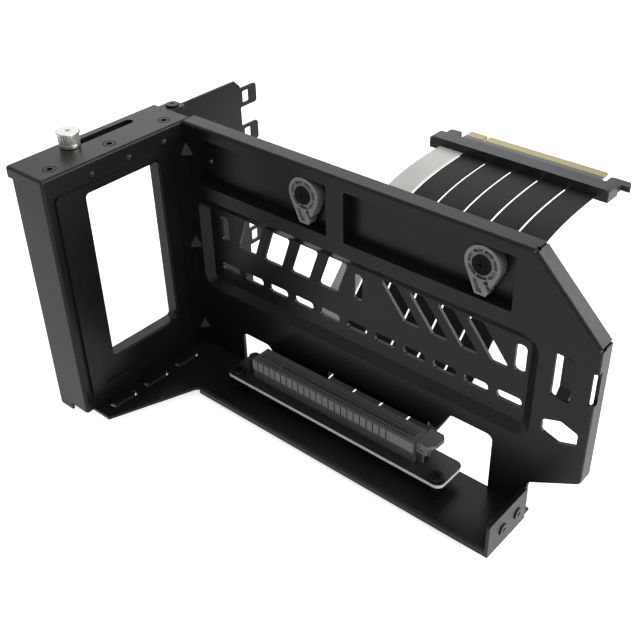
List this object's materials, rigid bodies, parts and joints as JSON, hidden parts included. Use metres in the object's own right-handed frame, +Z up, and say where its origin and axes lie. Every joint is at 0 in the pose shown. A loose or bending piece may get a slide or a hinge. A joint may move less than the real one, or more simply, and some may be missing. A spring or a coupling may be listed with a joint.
{
  "type": "vertical graphics card mount",
  "caption": "Folded steel mount that holds a graphics card upright, with a window frame, slot bracket, card slot and ribbon cables to an edge connector.",
  "frame": {"origin": "middle of the footprint, at the bottom of the slot bracket, without the ribbon cables and their connector", "axes": "+X along the main plate away from the window frame, +Y from the card side to the ribbon side, +Z up"},
  "size_m": [0.2364, 0.237, 0.1353],
  "materials": {
    "black_steel": "satin powder coat",
    "bright_steel": "nickel plated",
    "black_screw": "black oxide",
    "grey_plastic": "matt",
    "slot_grey": "moulded",
    "black_board": "solder mask",
    "gold_contact": "gold plated",
    "black_plastic": "moulded",
    "grey_ribbon": "satin",
    "black_ribbon": "satin"
  },
  "bodies": {
    "mount": {"main_plate": "black_steel", "window_frame": "black_steel", "riser_tray": "black_steel", "thread_inserts": "black_steel", "rear_tab_screw": "black_screw", "end_screw_front": "black_screw", "end_screw_back": "black_screw", "board_screws": "black_screw", "board_spacers": "black_screw", "cam_bolt_left": "black_screw", "cam_bolt_right": "black_screw", "cam_nut_left": "bright_steel", "cam_nut_right": "bright_steel", "riser_board": "black_board", "board_post": "black_plastic", "slot_housing": "slot_grey", "slot_contacts": "gold_contact", "edge_connector_housing": "black_plastic", "edge_board": "gold_contact", "lock_hook": "black_plastic", "ribbon_1": "grey_ribbon", "ribbon_2": "black_ribbon", "ribbon_3": "black_ribbon", "ribbon_4": "black_ribbon", "ribbon_5": "black_ribbon", "ribbon_6": "black_ribbon"},
    "bracket": {"slot_bracket": "black_steel", "clamp_block": "bright_steel", "bracket_screw": "black_screw"},
    "thumb_knob": {"thumbscrew": "bright_steel"},
    "left_cam": {"cam_left": "grey_plastic"},
    "right_cam": {"cam_right": "grey_plastic"},
    "card_latch": {"slot_latch": "slot_grey"}
  },
  "joints": [
    {"name": "bracket_slide", "type": "slide", "parent": "mount", "child": "bracket", "axis": [0, 1, 0], "range_m": [0, 0.031]},
    {"name": "thumbscrew_turn", "type": "hinge", "parent": "bracket", "child": "thumb_knob", "pos_m": [-0.11265, -0.04515, 0.128], "axis": [0, 0, 1], "continuous": true},
    {"name": "left_cam_swing", "type": "hinge", "parent": "mount", "child": "left_cam", "pos_m": [-0.022, 0.0056, 0.1138], "axis": [0, 1, 0], "range_deg": [-45, 45]},
    {"name": "right_cam_swing", "type": "hinge", "parent": "mount", "child": "right_cam", "pos_m": [0.0666, 0.0056, 0.1138], "axis": [0, 1, 0], "range_deg": [-45, 45]},
    {"name": "latch_tilt", "type": "hinge", "parent": "mount", "child": "card_latch", "pos_m": [0.0514, -0.00665, 0.0178], "axis": [0, 1, 0], "range_deg": [0, 35]}
  ]
}
